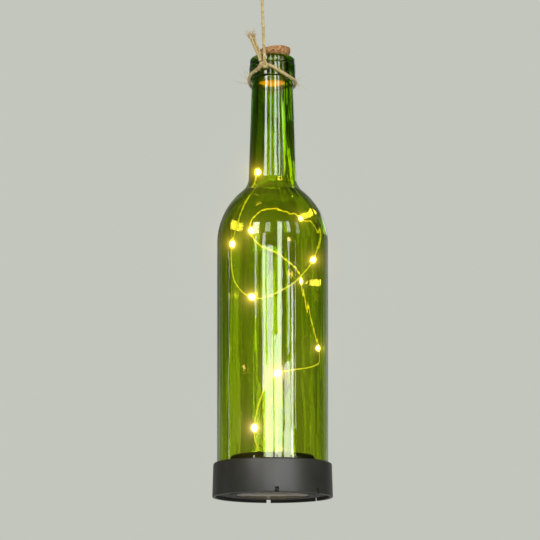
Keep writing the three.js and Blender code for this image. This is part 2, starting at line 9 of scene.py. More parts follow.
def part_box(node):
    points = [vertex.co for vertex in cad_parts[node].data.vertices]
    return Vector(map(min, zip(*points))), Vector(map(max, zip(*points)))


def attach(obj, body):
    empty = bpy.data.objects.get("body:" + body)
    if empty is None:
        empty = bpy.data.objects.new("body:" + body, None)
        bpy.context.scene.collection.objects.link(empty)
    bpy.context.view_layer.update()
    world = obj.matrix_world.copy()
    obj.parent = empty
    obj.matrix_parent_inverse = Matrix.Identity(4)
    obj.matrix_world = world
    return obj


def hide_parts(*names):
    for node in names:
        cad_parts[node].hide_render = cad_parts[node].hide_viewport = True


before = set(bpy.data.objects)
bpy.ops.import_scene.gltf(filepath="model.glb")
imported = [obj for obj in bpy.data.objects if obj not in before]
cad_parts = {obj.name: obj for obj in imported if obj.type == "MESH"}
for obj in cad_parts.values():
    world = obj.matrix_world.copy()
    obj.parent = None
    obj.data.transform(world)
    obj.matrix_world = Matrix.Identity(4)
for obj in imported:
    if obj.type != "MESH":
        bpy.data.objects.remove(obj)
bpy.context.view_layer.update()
scene = bpy.context.scene
print("frame loaded with", len(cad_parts), "nodes")

# How the lamp hangs: its weight is plumb under the knot of the hanging loop
hang = {
    "bottleTop": 0.298,
    "weightHeight": 0.125,
    "loopKnot": (-0.0073, -0.0237, 0.043),  # heights of the twine are from the bottle's top
    "neckKnot": (-0.0053, -0.0186, -0.0092),
    "loopHeight": 0.028,
    "knotReach": 0.0027,
}


def fromTop(point):
    return Vector((point[0], point[1], hang["bottleTop"] + point[2]))


loopKnot = fromTop(hang["loopKnot"])
neckKnot = fromTop(hang["neckKnot"])
pull = loopKnot - Vector((0, 0, hang["weightHeight"]))
plumb = pull.normalized()
loopTop = loopKnot + plumb * hang["loopHeight"]
lean = math.atan2(pull.y, pull.z)
sideways = math.atan2(-pull.x, math.hypot(pull.y, pull.z))
lampTurn = Matrix.Rotation(sideways, 4, "Y") @ Matrix.Rotation(lean, 4, "X")
lampMatrix = lampTurn @ Matrix.Translation(-loopTop)

# Camera: as in the photograph, a little below the foot and looking up along the glass
camera = {
    "place": (-0.0017, -1.527, -0.1493),
    "pitch": 11.15,
    "lens": 155.6,
}
cameraData = bpy.data.cameras.new("camera")
cameraData.lens = camera["lens"]
cameraData.sensor_width = 36
cameraObject = bpy.data.objects.new("camera", cameraData)
scene.collection.objects.link(cameraObject)
cameraTurn = Matrix.Rotation(math.radians(90 + camera["pitch"]), 4, "X")
cameraObject.matrix_world = lampMatrix @ Matrix.Translation(camera["place"]) @ cameraTurn
scene.camera = cameraObject
print("camera set")


def fromHex(code, alpha=1.0):  # sRGB hex to linear
    parts = [int(code[i:i + 2], 16) / 255 for i in (1, 3, 5)]
    linear = [c / 12.92 if c <= 0.04045 else ((c + 0.055) / 1.055) ** 2.4 for c in parts]
    return (*linear, alpha)


def addNode(tree, kind, settings=None, links=None):  # one node, its settings and what feeds it
    family = "CompositorNode" if tree.type == "COMPOSITING" else "ShaderNode"
    node = tree.nodes.new(family + kind)
    for key, value in (settings or {}).items():
        if isinstance(key, int) or key in node.inputs:
            node.inputs[key].default_value = value
        else:
            setattr(node, key, value)
    for key, source in (links or {}).items():  # a socket, or a node that gives its first output
        output = source.outputs[0] if isinstance(source, bpy.types.Node) else source
        tree.links.new(output, node.inputs[key])
    return node


def newMaterial(name):
    material = bpy.data.materials.new(name)
    material.use_nodes = True
    tree = material.node_tree
    tree.nodes.clear()
    return material, tree, addNode(tree, "TexCoord").outputs["Object"]


def addShader(material, settings, links, inside=None):  # the surface, and the volume of clear glass
    tree = material.node_tree
    shader = addNode(tree, "BsdfPrincipled", settings, links)
    addNode(tree, "OutputMaterial", links={"Surface": shader, **(inside or {})})
    return material


def setStops(ramp, stops):  # stops are (place, hex colour) or (place, grey value)
    elements = ramp.color_ramp.elements
    while len(elements) < len(stops):
        elements.new(0.5)
    for element, (place, colour) in zip(elements, stops):
        element.position = place
        element.color = fromHex(colour) if isinstance(colour, str) else (colour, colour, colour, 1)


def perMm(size):  # scale of a pattern whose grains are that many millimetres across
    return 1000 / size


# Bottle glass, blown in a mould: soaks up blue and some red, so thick edges go olive
def makeGreenGlass():
    look = {"red": 178, "green": 95, "blue": 1000}  # absorption per metre
    strength = look["blue"] / 0.98
    tint = tuple(1 - look[c] / strength for c in ("red", "green", "blue"))
    material, tree, place = newMaterial("blownGreenGlass")
    soak = addNode(tree, "VolumeAbsorption", {"Color": (*tint, 1), "Density": strength})
    ripple = addNode(tree, "Mapping", {"Scale": (260, 260, 14)}, {"Vector": place})
    waves = addNode(tree, "TexNoise", {"Scale": 1.0, "Detail": 2.0}, {"Vector": ripple})
    bump = addNode(tree, "Bump", {"Strength": 0.12, "Distance": 0.0004}, {"Height": waves})
    return addShader(material, {
        "Base Color": (1, 1, 1, 1), "Roughness": 0.0, "IOR": 1.52, "Transmission Weight": 1.0,
    }, {"Normal": bump}, {"Volume": soak})


# Cork grains pressed with a binder: tan and reddish grains with dark specks, dry and dull.
# Below the rim the plug inside the neck is painted paler and warmer: painted light
def makePressedCork():
    look = {"grain": 1.3, "speck": 0.7, "pore": 0.35, "paintedLight": 0.5, "fade": 0.001}
    material, tree, place = newMaterial("pressedCorkGrains")
    warp = addNode(tree, "TexNoise", {"Scale": perMm(1.1), "Detail": 3.0}, {"Vector": place})
    bent = addNode(tree, "Mix", {"data_type": "VECTOR", 0: 0.0006}, {4: place, 5: warp.outputs["Color"]})
    grains = addNode(tree, "TexVoronoi", {"Scale": perMm(look["grain"])}, {"Vector": bent.outputs[1]})
    tone = addNode(tree, "SeparateColor", links={"Color": grains.outputs["Color"]})
    ramp = addNode(tree, "ValToRGB", links={"Fac": tone})
    setStops(ramp, [(0.0, "#6d4124"), (0.25, "#906438"), (0.55, "#a77d4a"), (0.8, "#b79062"),
                    (1.0, "#925d3b")])
    edges = addNode(tree, "TexVoronoi",
                    {"feature": "DISTANCE_TO_EDGE", "Scale": perMm(look["grain"])},
                    {"Vector": bent.outputs[1]})
    seam = addNode(tree, "ValToRGB", links={"Fac": edges.outputs["Distance"]})
    setStops(seam, [(0.0, 0.45), (0.07, 1.0)])
    specks = addNode(tree, "TexNoise", {"Scale": perMm(look["speck"]), "Detail": 4.0}, {"Vector": place})
    dark = addNode(tree, "ValToRGB", links={"Fac": specks})
    setStops(dark, [(0.38, 0.12), (0.45, 1.0)])
    joined = addNode(tree, "Mix", {"data_type": "RGBA", "blend_type": "MULTIPLY", 0: 0.8}, {6: ramp, 7: seam})
    speckled = addNode(tree, "Mix", {"data_type": "RGBA", "blend_type": "MULTIPLY", 0: 0.85},
                       {6: joined.outputs[2], 7: dark})
    axes = addNode(tree, "SeparateXYZ", links={"Vector": place})
    rim = (lampMatrix @ Vector((0, 0, hang["bottleTop"]))).z
    # painted light: below the rim the plug is mixed towards a pale warm tan
    paintedLight = addNode(tree, "MapRange", {
        1: rim - look["fade"], 2: rim + look["fade"], 3: look["paintedLight"], 4: 0.0,
    }, {0: axes.outputs["Z"]})
    paler = addNode(tree, "Mix", {"data_type": "RGBA", 7: fromHex("#e8b36c")},
                    {0: paintedLight, 6: speckled.outputs[2]})
    pores = addNode(tree, "TexNoise", {"Scale": perMm(look["pore"]), "Detail": 3.0}, {"Vector": place})
    pits = addNode(tree, "Math", {"operation": "MULTIPLY"}, {0: dark, 1: pores})
    bump = addNode(tree, "Bump", {"Strength": 0.7, "Distance": 0.0003}, {"Height": pits})
    return addShader(material, {"Roughness": 0.88, "IOR": 1.4},
                     {"Base Color": paler.outputs[2], "Normal": bump})


# Jute, spun and laid in three strands: pale straw fibres with golden and brown ones between
def makeJute():
    look = {"fibre": 0.48, "patch": 3.0}  # real fibres are 0.05 mm thick; these are coarse enough to show
    material, tree, place = newMaterial("spunJuteFibre")
    threads = addNode(tree, "TexNoise", {
        "Scale": perMm(look["fibre"]), "Detail": 5.0, "Roughness": 0.65,
    }, {"Vector": place})
    patches = addNode(tree, "TexNoise", {"Scale": perMm(look["patch"]), "Detail": 2.0}, {"Vector": place})
    both = addNode(tree, "Math", {"operation": "MULTIPLY_ADD", 1: 0.45}, {0: patches, 2: threads})
    ramp = addNode(tree, "ValToRGB", links={"Fac": both})
    setStops(ramp, [(0.42, "#5c4618"), (0.6, "#8d743c"), (0.74, "#a3905e"), (0.92, "#bdaf86")])
    bump = addNode(tree, "Bump", {"Strength": 0.6, "Distance": 0.0002}, {"Height": threads})
    return addShader(material, {
        "Roughness": 0.92, "IOR": 1.45, "Sheen Weight": 0.25, "Sheen Roughness": 0.5,
    }, {"Base Color": ramp, "Normal": bump})


# A moulded or drawn piece: an even colour, a fine grain and a little unevenness in its gloss
def makeMoulded(name, colour, worn, gloss):
    look = {"cloud": 14, "grain": 0.35, "depth": 0.15}
    material, tree, place = newMaterial(name)
    clouds = addNode(tree, "TexNoise", {"Scale": perMm(look["cloud"]), "Detail": 3.0}, {"Vector": place})
    ramp = addNode(tree, "ValToRGB", links={"Fac": clouds})
    setStops(ramp, [(0.35, colour), (0.7, worn)])
    fine = addNode(tree, "TexNoise", {"Scale": perMm(look["grain"]), "Detail": 2.0}, {"Vector": place})
    mapped = addNode(tree, "MapRange", {3: gloss - 0.05, 4: gloss + 0.07}, {0: clouds})
    bump = addNode(tree, "Bump", {"Strength": look["depth"], "Distance": 0.0001}, {"Height": fine})
    return addShader(material, {"IOR": 1.49}, {
        "Base Color": ramp, "Roughness": mapped, "Normal": bump,
    })


# Silicon cell: near-black blue wafer with printed silver fingers and two wide bars
def makeSolarSilicon():
    look = {"finger": 2.0, "fingerWidth": 0.12, "bar": 15.0, "barWidth": 1.2}
    material, tree, place = newMaterial("printedSiliconCell")
    flakes = addNode(tree, "TexVoronoi", {"Scale": perMm(5)}, {"Vector": place})
    tone = addNode(tree, "SeparateColor", links={"Color": flakes.outputs["Color"]})
    ramp = addNode(tree, "ValToRGB", links={"Fac": tone})
    setStops(ramp, [(0.0, "#0b1226"), (0.5, "#111b38"), (1.0, "#1a2a52")])
    axes = addNode(tree, "SeparateXYZ", links={"Vector": place})
    lines = []
    for axis, pitch, width in ((1, look["finger"], look["fingerWidth"]), (0, look["bar"], look["barWidth"])):
        turns = addNode(tree, "Math", {"operation": "MULTIPLY", 1: perMm(pitch)}, {0: axes.outputs[axis]})
        part = addNode(tree, "Math", {"operation": "FRACT"}, {0: turns})
        lines.append(addNode(tree, "Math", {"operation": "LESS_THAN", 1: width / pitch},
                             {0: part}))
    either = addNode(tree, "Math", {"operation": "MAXIMUM"}, {0: lines[0], 1: lines[1]})
    silver = addNode(tree, "Mix", {"data_type": "RGBA", 7: fromHex("#b9bcc0")},
                     {0: either, 6: ramp})
    return addShader(material, {"Roughness": 0.3, "IOR": 1.5}, {"Base Color": silver.outputs[2]})


# Resin cast over the cell and yellowed by the sun: a satin skin through which the dark cell shows
def makeCastResin():
    material, tree, place = newMaterial("castYellowedResin")
    haze = addNode(tree, "TexNoise", {"Scale": perMm(7), "Detail": 3.0}, {"Vector": place})
    ramp = addNode(tree, "ValToRGB", links={"Fac": haze})
    setStops(ramp, [(0.35, "#c3ad6c"), (0.7, "#d6c388")])
    bump = addNode(tree, "Bump", {"Strength": 0.15, "Distance": 0.0002}, {"Height": haze})
    return addShader(material, {"Roughness": 0.12, "IOR": 1.5, "Transmission Weight": 0.93},
                     {"Base Color": ramp, "Normal": bump})


# Plated steel: bright, with faint drawn lines and grey patches
def makePlated(name, colour, gloss):
    material, tree, place = newMaterial(name)
    streaks = addNode(tree, "TexNoise", {"Scale": perMm(0.6), "Detail": 4.0}, {"Vector": place})
    ramp = addNode(tree, "ValToRGB", links={"Fac": streaks})
    setStops(ramp, [(0.3, "#8d8d89"), (0.6, colour)])
    mapped = addNode(tree, "MapRange", {3: gloss, 4: gloss + 0.2}, {0: streaks})
    return addShader(material, {"Metallic": 1.0}, {"Base Color": ramp, "Roughness": mapped})


# Enamelled copper wire: gold under clear lacquer, with a faint emission as painted glow from the lights
def makeLacqueredWire():
    material, tree, place = newMaterial("enamelledCopperWire")
    stains = addNode(tree, "TexNoise", {"Scale": perMm(2.5), "Detail": 2.0}, {"Vector": place})
    ramp = addNode(tree, "ValToRGB", links={"Fac": stains})
    setStops(ramp, [(0.3, "#efd03c"), (0.7, "#fff278")])
    return addShader(material, {
        "Metallic": 0.1, "Roughness": 0.42, "Coat Weight": 0.4, "Coat Roughness": 0.2,
        # painted glow: the wire emits a little light in its own gold colour
        "Emission Strength": 0.65,
    }, {"Base Color": ramp, "Emission Color": ramp})


# Clear resin dropped over each chip: at full power the drop glows, white even through green glass
def makeLitResin():
    material, tree, place = newMaterial("clearResinDrop")
    patch = addNode(tree, "TexNoise", {"Scale": perMm(1.2), "Detail": 1.0}, {"Vector": place})
    ramp = addNode(tree, "ValToRGB", links={"Fac": patch})
    setStops(ramp, [(0.3, "#ffbbfb"), (0.7, "#ffc5ff")])
    return addShader(material, {
        "Base Color": fromHex("#fff4dc"), "Roughness": 0.2, "IOR": 1.5, "Emission Strength": 26.0,
    }, {"Emission Color": ramp})


finishes = {
    "glass": makeGreenGlass(),
    "cork": makePressedCork(),
    "jute": makeJute(),
    "cap": makeMoulded("mouldedPolypropyleneCap", "#20211c", "#272823", 0.4),
    "plate": makeMoulded("mouldedPolypropylenePlate", "#111210", "#171815", 0.66),
    "seal": makeMoulded("pressedSiliconeSeal", "#cfcfc6", "#dcdcd4", 0.6),
    "cell": makeSolarSilicon(),
    "window": makeCastResin(),
    "rubber": makeMoulded("mouldedBlackRubber", "#141414", "#1d1d1c", 0.75),
    "wire": makeLacqueredWire(),
    "drop": makeLitResin(),
    "nickel": makePlated("nickelPlatedSteel", "#cfcfc9", 0.2),
    "zinc": makePlated("zincPlatedSteel", "#b8b9b6", 0.3),
    "sleeve": makeMoulded("shrunkCellSleeve", "#2f7a42", "#3a8a4d", 0.3),
    "laminate": makeMoulded("maskedBoardLaminate", "#175030", "#1f6039", 0.35),
    "epoxy": makeMoulded("mouldedBlackEpoxy", "#161616", "#202020", 0.55),
    "redLead": makeMoulded("extrudedRedInsulation", "#9c1f17", "#b32a20", 0.35),
    "blackLead": makeMoulded("extrudedBlackInsulation", "#121212", "#1c1c1c", 0.35),
    "button": makeMoulded("mouldedBlackSwitch", "#101010", "#1a1a1a", 0.4),
}
print("materials made:", len(finishes))


def addPiece(name, mesh, finish, body, nodes=(), sharp=40):
    mesh.name = name
    mesh.materials.clear()
    mesh.materials.append(finishes[finish])
    for polygon in mesh.polygons:
        polygon.use_smooth = True
    mesh.set_sharp_from_angle(angle=math.radians(sharp))
    piece = bpy.data.objects.new(name, mesh)
    scene.collection.objects.link(piece)
    if nodes:
        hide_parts(*nodes)
    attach(piece, body)
    return piece


def meshFrom(bm, matrix=lampMatrix):  # welds, turns faces outwards and hangs the shape in place
    bmesh.ops.remove_doubles(bm, verts=bm.verts, dist=1e-6)
    bmesh.ops.recalc_face_normals(bm, faces=bm.faces)
    bmesh.ops.transform(bm, matrix=matrix, verts=bm.verts)
    mesh = bpy.data.meshes.new("shape")
    bm.to_mesh(mesh)
    bm.free()
    return mesh


def filleted(corners, steps=4):  # rounds each (radius, height, fillet) of a closed outline
    points = []
    for i, (radius, height, size) in enumerate(corners):
        corner = Vector((radius, height))
        if not size:
            points.append(corner)
            continue
        towards = [Vector(corners[(i + k) % len(corners)][:2]) - corner for k in (-1, 1)]
        start, end = (corner + t.normalized() * size for t in towards)
        for k in range(steps + 1):
            t = k / steps
            points.append(start * (1 - t) ** 2 + corner * 2 * t * (1 - t) + end * t ** 2)
    return [(p.x, p.y) for p in points]


def spun(profile, steps=128, close=True):  # turns a profile of (radius, height) about the axis
    bm = bmesh.new()
    verts = [bm.verts.new((r, 0, z)) for r, z in profile]
    edges = [bm.edges.new(pair) for pair in zip(verts, verts[1:])]
    if close:
        edges.append(bm.edges.new((verts[-1], verts[0])))
    bmesh.ops.spin(bm, geom=verts + edges, cent=(0, 0, 0), axis=(0, 0, 1), dvec=(0, 0, 0),
                   angle=2 * math.pi, steps=steps, use_merge=True)
    bmesh.ops.remove_doubles(bm, verts=bm.verts, dist=1e-6)
    return bm


def cutBy(mesh, cutters):  # takes each cutter's shape out of a mesh
    body = bpy.data.objects.new("cutting", mesh)
    scene.collection.objects.link(body)
    tools = []
    for cutter in cutters:
        tool = bpy.data.objects.new("cutter", cutter)
        scene.collection.objects.link(tool)
        tools.append(tool)
        modifier = body.modifiers.new("cut", "BOOLEAN")
        modifier.operation = "DIFFERENCE"
        modifier.solver = "EXACT"
        modifier.object = tool
    made = bpy.data.meshes.new_from_object(body.evaluated_get(bpy.context.evaluated_depsgraph_get()))
    for helper in [body, *tools]:
        bpy.data.objects.remove(helper)
    return made


def arcPoints(centre, radius, start, end, steps):
    angles = [math.radians(start + (end - start) * i / steps) for i in range(steps + 1)]
    return [(centre[0] + radius * math.cos(a), centre[1] + radius * math.sin(a)) for a in angles]


# Routes and twine
def smoothLine(points, spacing):  # even points along a centripetal Catmull-Rom curve
    points = [Vector(p) for p in points]
    ends = [points[0] * 2 - points[1], *points, points[-1] * 2 - points[-2]]
    fine = []
    for a, b, c, d in zip(ends, ends[1:], ends[2:], ends[3:]):
        knots = [0.0]
        for p, q in ((a, b), (b, c), (c, d)):
            knots.append(knots[-1] + max((q - p).length, 1e-9) ** 0.5)
        for i in range(12):
            t = knots[1] + (knots[2] - knots[1]) * i / 12
            low = [p * ((v - t) / (v - u)) + q * ((t - u) / (v - u))
                   for p, q, u, v in ((a, b, *knots[:2]), (b, c, *knots[1:3]), (c, d, *knots[2:]))]
            mid = [low[k] * ((knots[k + 2] - t) / (knots[k + 2] - knots[k]))
                   + low[k + 1] * ((t - knots[k]) / (knots[k + 2] - knots[k])) for k in (0, 1)]
            fine.append(mid[0] * ((knots[2] - t) / (knots[2] - knots[1]))
                        + mid[1] * ((t - knots[1]) / (knots[2] - knots[1])))
    fine.append(points[-1])
    lengths = [0.0]
    for p, q in zip(fine, fine[1:]):
        lengths.append(lengths[-1] + (q - p).length)
    count = max(2, round(lengths[-1] / spacing))
    line, k = [], 0
    for i in range(count + 1):
        want = lengths[-1] * i / count
        while k < len(lengths) - 2 and lengths[k + 1] < want:
            k += 1
        line.append(fine[k].lerp(fine[k + 1], (want - lengths[k]) / max(lengths[k + 1] - lengths[k], 1e-12)))
    return line


def sidesOf(line):  # two directions across a line at each point, carried along it without twist
    across, frames = None, []
    for i in range(len(line)):
        along = (line[min(i + 1, len(line) - 1)] - line[max(i - 1, 0)]).normalized()
        across = (across or along.orthogonal()) - along * along.dot(across or along.orthogonal())
        across.normalize()
        frames.append((across.copy(), along.cross(across)))
    return frames


def tubesFrom(lines, radius, sides=2, radii=None):  # round tubes along lines, as one mesh
    curve = bpy.data.curves.new("tubes", "CURVE")
    curve.dimensions = "3D"
    curve.bevel_depth = radius
    curve.bevel_resolution = sides
    curve.use_fill_caps = True
    for number, line in enumerate(lines):
        spline = curve.splines.new("POLY")
        spline.points.add(len(line) - 1)
        for i, point in enumerate(line):
            spline.points[i].co = (*(lampMatrix @ point), 1)
            spline.points[i].radius = radii[number][i] if radii else 1
    holder = bpy.data.objects.new("tubes", curve)
    scene.collection.objects.link(holder)
    mesh = bpy.data.meshes.new_from_object(holder.evaluated_get(bpy.context.evaluated_depsgraph_get()))
    bpy.data.objects.remove(holder)
    return mesh


twine = {
    "radius": 0.0011,
    "strands": 3,
    "lay": 0.0075,  # length of one full turn of a strand
    "strand": 0.56,  # a strand's radius and its reach from the middle, as shares of the twine's radius
    "reach": 0.46,
    "uneven": 0.16,
    "fibre": 0.00004,
    "step": 0.0004,
}
hair = {"root": 0.7, "slope": (0.3, 1.6), "curl": 0.45, "shortest": 0.25, "strayWidth": 1.3}
frayed = {
    "fibres": 46, "open": 0.32, "depth": 0.002, "wide": 0.0018, "reach": (0.0012, 0.0042),
    "radius": 0.00009, "partsFrom": 0.62, "parting": 0.9,
}


def strandsAlong(line, width=1.0, loosen=None):  # the strands of a laid twine, and how thick each is
    frames = sidesOf(line)
    strandRadius = twine["radius"] * twine["strand"] * width
    reach = twine["radius"] * twine["reach"] * width
    spacing = (line[1] - line[0]).length
    lines, radii = [], []
    for strand in range(twine["strands"]):
        path, thick = [], []
        for i, (point, (u, v)) in enumerate(zip(line, frames)):
            angle = 2 * math.pi * (i * spacing / twine["lay"] + strand / twine["strands"])
            wide = reach * (loosen(i / (len(line) - 1)) if loosen else 1)
            path.append(point + (u * math.cos(angle) + v * math.sin(angle)) * wide)
            thick.append(1 + twine["uneven"] * noise.noise(point * 900 + Vector((strand * 7, 0, 0))))
        lines.append(path)
        radii.append(thick)
    return lines, radii, strandRadius


def fibresAround(line, count, longest, chance):  # loose hairs that stand out of a twine
    hairs, frames = [], sidesOf(line)
    for _ in range(count):
        i = chance.randrange(1, len(line) - 1)
        u, v = frames[i]
        turn = chance.uniform(0, 2 * math.pi)
        out = u * math.cos(turn) + v * math.sin(turn)
        along = (line[i + 1] - line[i - 1]).normalized() * chance.choice((-1, 1))
        heading = (out + along * chance.uniform(*hair["slope"])).normalized()
        curl = Vector([chance.uniform(-1, 1) for _ in range(3)]) * hair["curl"]
        length = longest * chance.uniform(hair["shortest"], 1) ** 1.6
        start = line[i] + out * twine["radius"] * hair["root"]
        hairs.append([start + (heading + curl * t) * length * t for t in (0, 0.35, 0.7, 1)])
    return hairs


def addTwine(name, route, body, nodes, hairs, seed, width=1.0, loosen=None, lively=0.004):
    line = smoothLine(route, twine["step"])
    lines, radii, strandRadius = strandsAlong(line, width, loosen)
    piece = addPiece(name, tubesFrom(lines, strandRadius, 2, radii), "jute", body, nodes, sharp=80)
    chance = random.Random(seed)
    loose = fibresAround(line, hairs, lively, chance)
    fuzz = addPiece(name + "_fibres", tubesFrom(loose, twine["fibre"], 0), "jute", body)
    return piece, fuzz, line


knots = {
    "loopSize": 0.00062, "neckSize": 0.00078, "neckShift": (-0.0006, 0.0002, -0.0002),
    "legShift": (-0.0012, 0.0002, -0.0004), "hitchRadius": 0.00165, "hitchTurns": 1.6, "hitchSteps": 30,
    "steps": 36,
}
loopOutline = [(0.0015, 0.0027), (0.0018, 0.006), (0.004, 0.012), (0.0056, 0.018), (0.0052, 0.0235),
               (0.003, 0.027)]
neckRoute = [
    (-0.0023, -0.018, -0.0097), (0.0004, -0.0177, -0.0108), (0.0059, -0.0163, -0.014),
    (0.011, -0.0129, -0.0162), (0.0144, -0.0074, -0.0172), (0.0155, 0.0004, -0.0179),
    (0.0137, 0.0073, -0.0185), (0.0097, 0.0121, -0.019), (0.0036, 0.0151, -0.0193),
    (-0.0032, 0.0152, -0.0193), (-0.0095, 0.0122, -0.019), (-0.0137, 0.0074, -0.0184),
    (-0.0155, 0.0008, -0.0175), (-0.016, -0.0052, -0.0161), (-0.0146, -0.0097, -0.014),
    (-0.0112, -0.0139, -0.0122), (-0.0079, -0.0176, -0.0105),
]
tailRoutes = [
    [(-0.0072, -0.017, -0.0072), (-0.008, -0.017, -0.0032), (-0.0104, -0.0172, 0.0036),
     (-0.0132, -0.0176, 0.0103)],
    [(-0.0083, -0.0194, -0.0074), (-0.0094, -0.0191, -0.0036), (-0.0122, -0.0193, 0.003),
     (-0.0151, -0.0196, 0.0098)],
]
strayFibres = [  # foot, heading and length, from the bends at both sides of the neck
    ((0.0157, -0.004, -0.0172), (1, -0.2, -0.9), 0.009),
    ((0.0158, -0.002, -0.018), (1, 0.1, 0.3), 0.006),
    ((0.0155, -0.005, -0.0176), (0.9, -0.3, 0.9), 0.005),
    ((0.015, -0.006, -0.018), (0.7, -0.5, -1.4), 0.008),
    ((-0.0163, -0.004, -0.0163), (-1, -0.2, 0.6), 0.009),
    ((-0.016, -0.001, -0.0178), (-1, -0.2, -0.15), 0.008),
    ((-0.0145, -0.0096, -0.0141), (-1, -0.4, 0.2), 0.007),
    ((0.0145, -0.0068, -0.018), (0.8, -0.6, -0.7), 0.007),
]


def addKnot(name, centre, size, turn, body, node, seed):  # an overhand knot drawn tight
    route = []
    for i in range(knots["steps"] + 1):
        t = 2 * math.pi * i / knots["steps"]
        knot = Vector((math.sin(t) + 2 * math.sin(2 * t), 2 * math.cos(2 * t) - math.cos(t),
                       -1.25 * math.sin(3 * t)))
        route.append(centre + turn @ (knot * size))
    piece, fuzz, _ = addTwine(name, route, body, [node], 60, seed, width=0.86, lively=0.003)
    return piece, fuzz


def addFrayedEnd(number, path):  # the cut end's strands open into single fibres
    chance = random.Random(40 + number)
    heading = (path[-1] - path[-8]).normalized()
    fibres = []
    for _ in range(frayed["fibres"]):
        spread = Vector([chance.gauss(0, frayed["open"]) for _ in range(3)])
        start = path[-1] - heading * chance.uniform(0, frayed["depth"]) + spread * frayed["wide"]
        reach = chance.uniform(*frayed["reach"])
        fibres.append([start, start + (heading + spread * 0.5) * reach * 0.5,
                       start + (heading + spread) * reach])
    return addPiece(f"twine_frayed_end_{number}", tubesFrom(fibres, frayed["radius"], 0), "jute", "lamp")


def addStrayFibres():
    chance = random.Random(77)
    strays = []
    for start, heading, length in strayFibres:
        for _ in range(3):
            bend = Vector([chance.uniform(-0.5, 0.5) for _ in range(3)])
            aim = Vector(heading).normalized() + bend * 0.4
            base = fromTop(start)
            reach = length * chance.uniform(0.55, 1)
            strays.append([base + (aim + bend * t) * reach * t for t in (0, 0.25, 0.5, 0.75, 1)])
    addPiece("twine_stray_fibres", tubesFrom(strays, twine["fibre"] * hair["strayWidth"], 0), "jute", "lamp")


def openingEnd(share):  # the strands of a cut end part over its last third
    return 1 + frayed["parting"] * max(0, share - frayed["partsFrom"]) / (1 - frayed["partsFrom"])


def addHangingTwine():
    along = (loopKnot - neckKnot).normalized()
    low, high = neckKnot + along * hang["knotReach"], loopKnot - along * hang["knotReach"]
    sideStep = Vector((1, 0, 0))
    right = [loopKnot + plumb * high + sideStep * wide for wide, high in loopOutline]
    left = [loopKnot + plumb * high - sideStep * wide for wide, high in reversed(loopOutline)]
    loop, loopFuzz, loopLine = addTwine("twine_hanging_loop", [*right, loopTop, *left], "hook_loop",
                                        ["hanging_loop"], 60, 3)
    facing = Matrix.Rotation(math.pi / 2, 3, "X")
    upper, upperFuzz = addKnot("twine_loop_knot", loopKnot, knots["loopSize"], facing, "swing_knot",
                               "loop_knot", 5)
    line, lineFuzz, linePath = addTwine("twine_hanging_line", [low, low.lerp(high, 0.5), high],
                                        "twine_line", ["hanging_line"], 70, 7)
    lower, lowerFuzz = addKnot("twine_neck_knot", neckKnot + Vector(knots["neckShift"]), knots["neckSize"],
                               Matrix.Rotation(0.25, 3, "Y") @ facing, "lamp", "neck_knot", 9)
    around = [neckKnot, *(fromTop(p) for p in neckRoute), neckKnot + Vector(knots["legShift"])]
    addTwine("twine_neck_loop", around, "lamp", ["neck_loop"], 150, 11, lively=0.005)
    legStart, legEnd = fromTop(neckRoute[-2]), fromTop(neckRoute[-1])
    wrap = []
    for i in range(knots["hitchSteps"] + 1):  # the end is taken round the left leg beside the knot
        turn = 2 * math.pi * knots["hitchTurns"] * i / knots["hitchSteps"]
        point = legEnd.lerp(legStart, 0.1 + 0.75 * i / knots["hitchSteps"])
        out = Vector((0.35 * math.cos(turn), math.sin(turn), 0.9 * math.cos(turn)))
        wrap.append(point + out * knots["hitchRadius"])
    addTwine("twine_half_hitch", wrap, "lamp", (), 16, 31, width=0.72, lively=0.003)
    tails = []
    for number, route in enumerate(tailRoutes, 1):
        piece, fuzz, path = addTwine(f"twine_cut_end_{number}", [fromTop(p) for p in route], "lamp",
                                     [f"twine_tail_{number}"], 40, 20 + number, width=0.82,
                                     loosen=openingEnd)
        tails += [piece, fuzz, addFrayedEnd(number, path)]
    addStrayFibres()


addHangingTwine()
print("twine laid")

# Bottle
bottle = {
    "radius": 0.03705, "wall": 0.003, "foot": 0.0135, "bodyTop": 0.1695, "shoulder": 0.046,
    "fillet": 0.013, "neckFoot": 0.016, "neckTop": 0.01395, "collar": 0.01565, "collarHeight": 0.0153,
    "lip": 0.0056, "bore": 0.0094, "boreLength": 0.036, "steps": 256,
}
ripples = {  # of the walls: how deep, how close round the bottle and up it, and which pattern
    "depth": 0.00016, "outside": 0.22, "coarse": (5.5, 9), "fine": (14, 16), "fineShare": 0.35,
    "pattern": {True: (6.7, 9), False: (0, 5)},  # inside and outside
    "plain": 0.004, "neckFoot": 0.225, "neckMiddle": 0.0125,
    "dimple": 0.00003, "dimplesPerMetre": 650, "dimpleHeight": 0.188, "dimpleReach": 0.008,
}


def shoulderCentres():  # the shoulder's arc and the neck's hollow one touch between their centres
    centre = (bottle["radius"] - bottle["shoulder"], bottle["bodyTop"])
    reach = bottle["shoulder"] + bottle["fillet"]
    across = bottle["neckFoot"] + bottle["fillet"] - centre[0]
    hollow = (centre[0] + across, centre[1] + math.sqrt(reach ** 2 - across ** 2))
    return centre, hollow, math.acos(across / reach)


def insideRadius(height):  # of the bottle's body and shoulder
    centre, hollow, turn = shoulderCentres()
    rise = height - bottle["bodyTop"]
    if rise <= 0:
        return bottle["radius"] - bottle["wall"]
    reach = bottle["shoulder"] - bottle["wall"]
    if rise < reach * math.sin(turn):
        return centre[0] + math.sqrt(reach ** 2 - rise ** 2)
    below = min(height - hollow[1], 0)
    return hollow[0] - math.sqrt((bottle["fillet"] + bottle["wall"]) ** 2 - below ** 2)


def shoulderLine(depth, steps):  # one wall from the body to the foot of the neck
    centre, hollow, turn = shoulderCentres()
    turn = math.degrees(turn)
    lower = arcPoints(centre, bottle["shoulder"] - depth, 0, turn, steps)
    upper = arcPoints(hollow, bottle["fillet"] + depth, 180 + turn, 180, steps)
    return lower + upper[1:]


